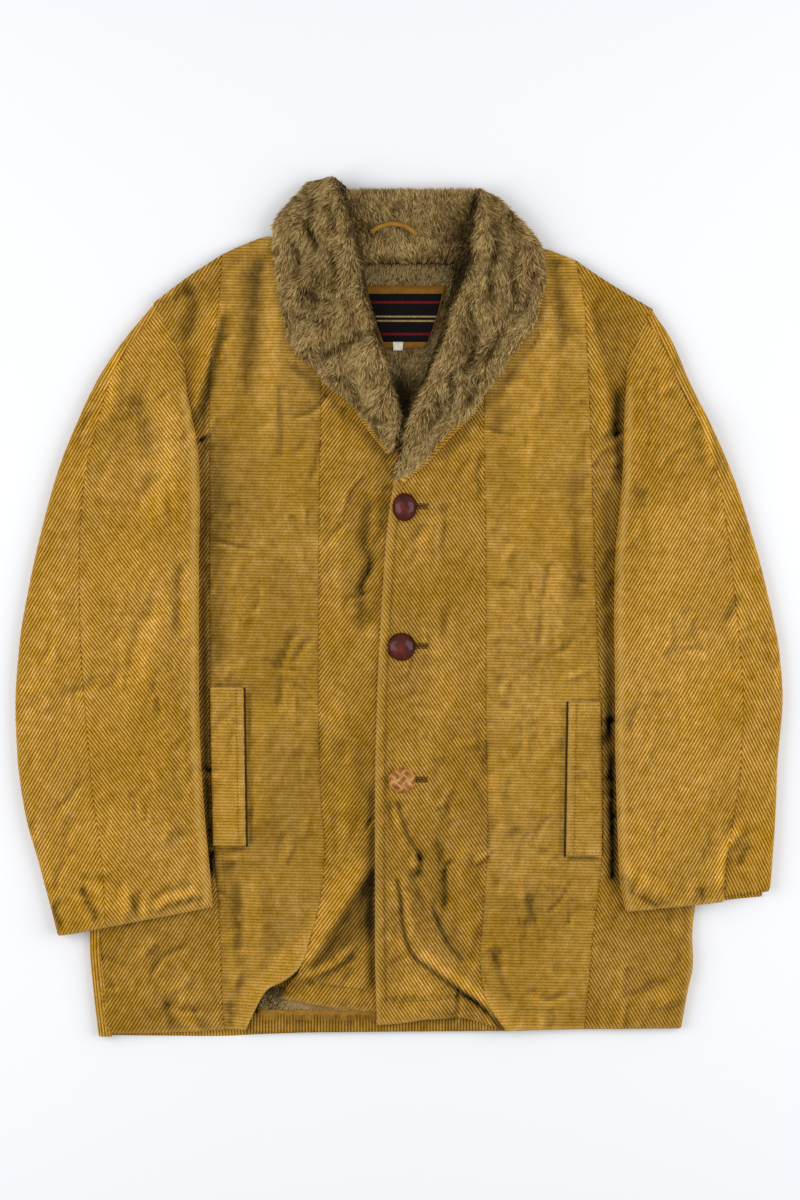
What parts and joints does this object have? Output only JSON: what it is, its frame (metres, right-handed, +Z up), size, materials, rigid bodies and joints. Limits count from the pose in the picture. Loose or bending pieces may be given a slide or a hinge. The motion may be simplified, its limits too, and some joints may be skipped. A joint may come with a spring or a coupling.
{
  "type": "sherpa-lined coat",
  "caption": "Pile-lined wide-wale corduroy car coat with a broad pile collar, welt pockets and leather buttons, buttoned up and lying flat on its back.",
  "frame": {"origin": "middle of the laid-out coat's outline, on the surface it lies on", "axes": "+Z up off the surface, out of the coat's front; +Y from the hem towards the collar; +X to the wearer's left"},
  "size_m": [0.768, 0.8598, 0.0353],
  "materials": {
    "corduroy": "wide-wale cotton corduroy, ochre, soft sheen on the wales",
    "collar_pile": "plush grey-brown pile, matt",
    "lining_pile": "short grey-brown pile, matt",
    "tape": "woven mustard tape",
    "label_patch": "plain mustard twill",
    "label": "dark woven label with plain stripes",
    "size_tab": "white woven tab, unmarked",
    "dark_leather": "polished dark burgundy leather",
    "tan_leather": "polished tan woven leather knot"
  },
  "bodies": {
    "root": {"back": "corduroy", "right_front_side": "corduroy", "right_front_middle": "corduroy", "right_front_centre": "corduroy", "left_front_centre": "corduroy", "left_front_middle": "corduroy", "left_front_side": "corduroy", "sleeve_upper_right": "corduroy", "sleeve_under_right": "corduroy", "sleeve_upper_left": "corduroy", "sleeve_under_left": "corduroy", "under_collar_right": "corduroy", "under_collar_left": "corduroy", "hem_facing": "corduroy", "welt_right": "corduroy", "welt_left": "corduroy", "collar_right": "collar_pile", "collar_left": "collar_pile", "collar_back": "collar_pile", "neck_lining": "lining_pile", "hem_lining": "lining_pile", "hanger_loop": "tape", "hem_tape": "tape", "label_patch": "label_patch", "label": "label", "size_tab": "size_tab", "button_1": "dark_leather", "button_2": "dark_leather", "button_3": "tan_leather"}
  },
  "joints": []
}
